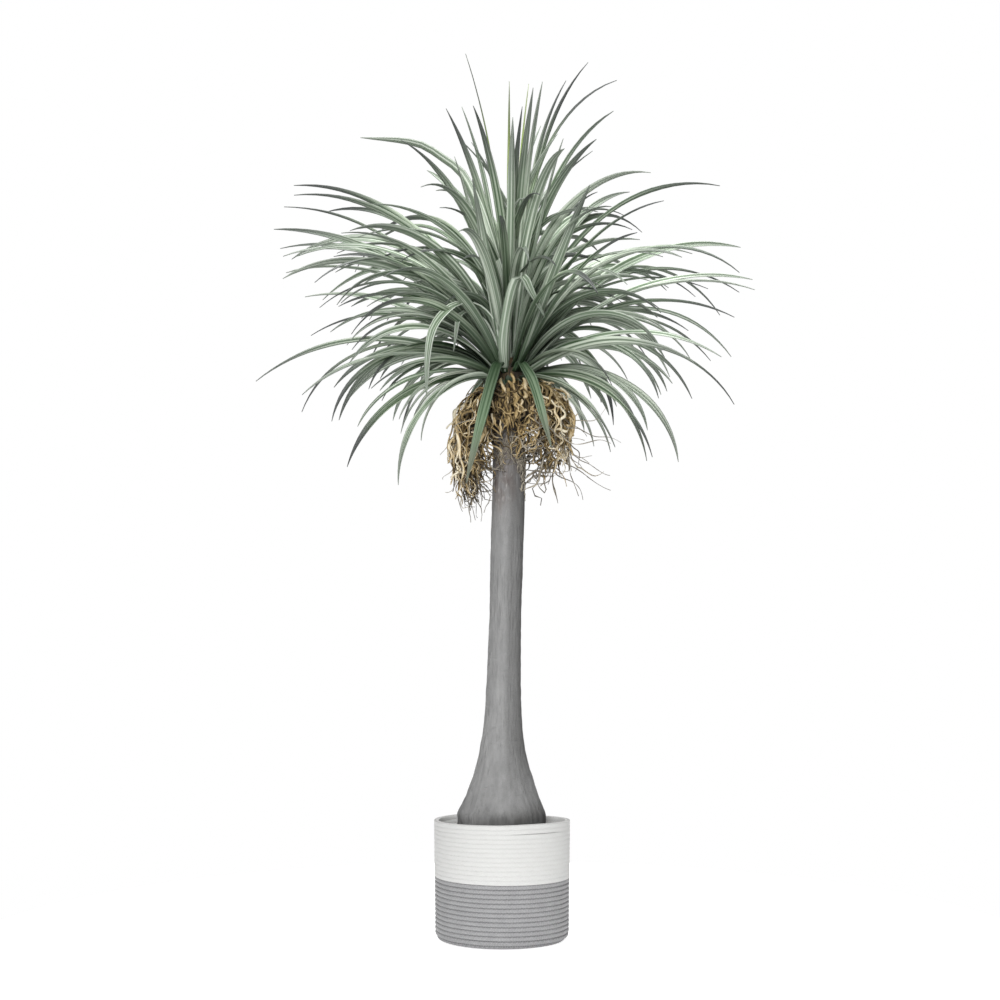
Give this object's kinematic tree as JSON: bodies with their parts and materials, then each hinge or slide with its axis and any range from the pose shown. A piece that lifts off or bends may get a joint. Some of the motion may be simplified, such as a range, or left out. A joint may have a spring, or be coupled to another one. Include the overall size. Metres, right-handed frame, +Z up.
{
  "type": "potted dragon tree",
  "caption": "Tall dragon tree with a slim grey trunk, swollen foot, skirt of dried fibre and a crown of arching strap leaves, in a two-tone coiled rope basket.",
  "frame": {"origin": "centre of the flat underside of the basket, on the floor", "axes": "+Z up the trunk to the top of the crown, -Y towards the viewer, +X to the viewer's right"},
  "size_m": [0.84, 0.7794, 1.5],
  "materials": {
    "rope_grey": "matte",
    "rope_white": "matte",
    "pot_plastic": "matte",
    "potting_mix": "matte",
    "bark": "matte",
    "dried_fibre": "matte",
    "leaf": "satin"
  },
  "bodies": {
    "root": {"basket_grey": "rope_grey", "basket_white": "rope_white", "grow_pot": "pot_plastic", "soil": "potting_mix", "trunk": "bark", "skirt": "dried_fibre", "crown": "leaf"}
  },
  "joints": []
}
